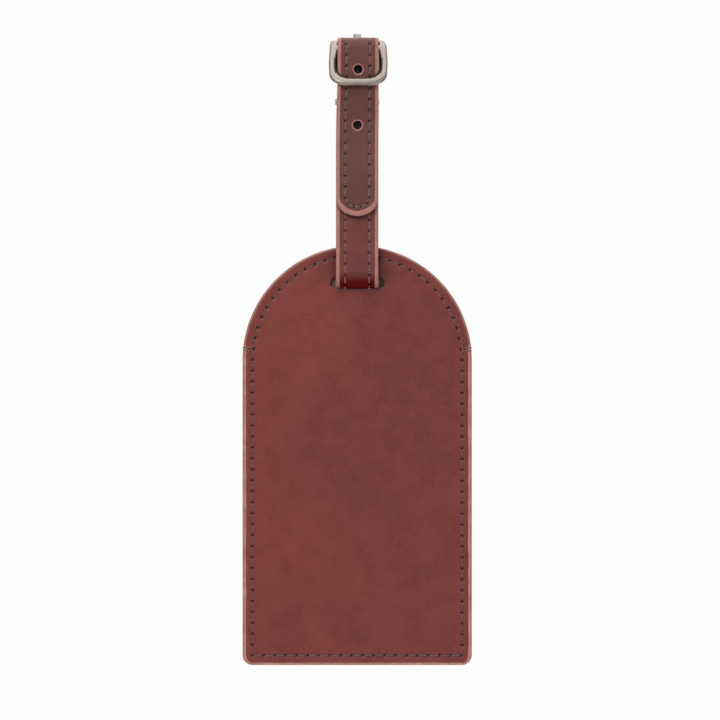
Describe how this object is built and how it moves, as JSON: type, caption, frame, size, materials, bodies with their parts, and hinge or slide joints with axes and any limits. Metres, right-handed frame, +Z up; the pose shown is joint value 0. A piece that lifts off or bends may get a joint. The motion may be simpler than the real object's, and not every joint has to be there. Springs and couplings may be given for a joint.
{
  "type": "luggage tag",
  "caption": "Arched leather luggage tag with a rear window pocket for an address card, on a stitched strap closed by a small heel-bar buckle.",
  "frame": {"origin": "middle of the strap's loop, where a bag handle passes through", "axes": "+X to the viewer's right, +Y to the tag's rear, +Z up from the tag towards the buckle"},
  "size_m": [0.065, 0.0229, 0.1793],
  "materials": {
    "tag_leather": "smooth semi-gloss pull-up leather, reddish brown",
    "back_leather": "smooth matt lining leather, brown",
    "strap_leather": "smooth semi-gloss leather with painted edges",
    "strap_lining": "smooth satin leather, duller brown, painted edges",
    "thread": "waxed brown sewing thread",
    "board": "grey-brown fibre board",
    "clear_window": "clear flexible vinyl",
    "card": "uncoated off-white card",
    "satin_nickel": "warm satin nickel plating"
  },
  "bodies": {
    "strap": {"strap_outer_ply": "strap_leather", "strap_lining_ply": "strap_lining", "strap_stitching": "thread", "strap_tack": "thread"},
    "tag": {"front_panel": "tag_leather", "stiffener_board": "board", "back_panel": "back_leather", "pocket_panel": "tag_leather", "window_pane": "clear_window", "body_stitching": "thread", "window_stitching": "thread", "pocket_tacks": "thread"},
    "card": {"address_card": "card"},
    "buckle": {"buckle_frame": "satin_nickel", "heel_bar": "satin_nickel"},
    "prong": {"prong": "satin_nickel"}
  },
  "joints": [
    {"name": "tag_swing", "type": "hinge", "parent": "strap", "child": "tag", "pos_m": [0, 0, -0.03045], "axis": [-1, 0, 0], "range_deg": [-10, 30]},
    {"name": "card_slide", "type": "slide", "parent": "tag", "child": "card", "axis": [0, 0, 1], "range_m": [0, 0.0165]},
    {"name": "buckle_flip", "type": "hinge", "parent": "strap", "child": "buckle", "pos_m": [0, -0.0003, 0.0341], "axis": [-1, 0, 0], "range_deg": [0, 270]},
    {"name": "prong_play", "type": "hinge", "parent": "strap", "child": "prong", "pos_m": [0, -0.0003, 0.0341], "axis": [-1, 0, 0], "range_deg": [0, 1.5]}
  ]
}
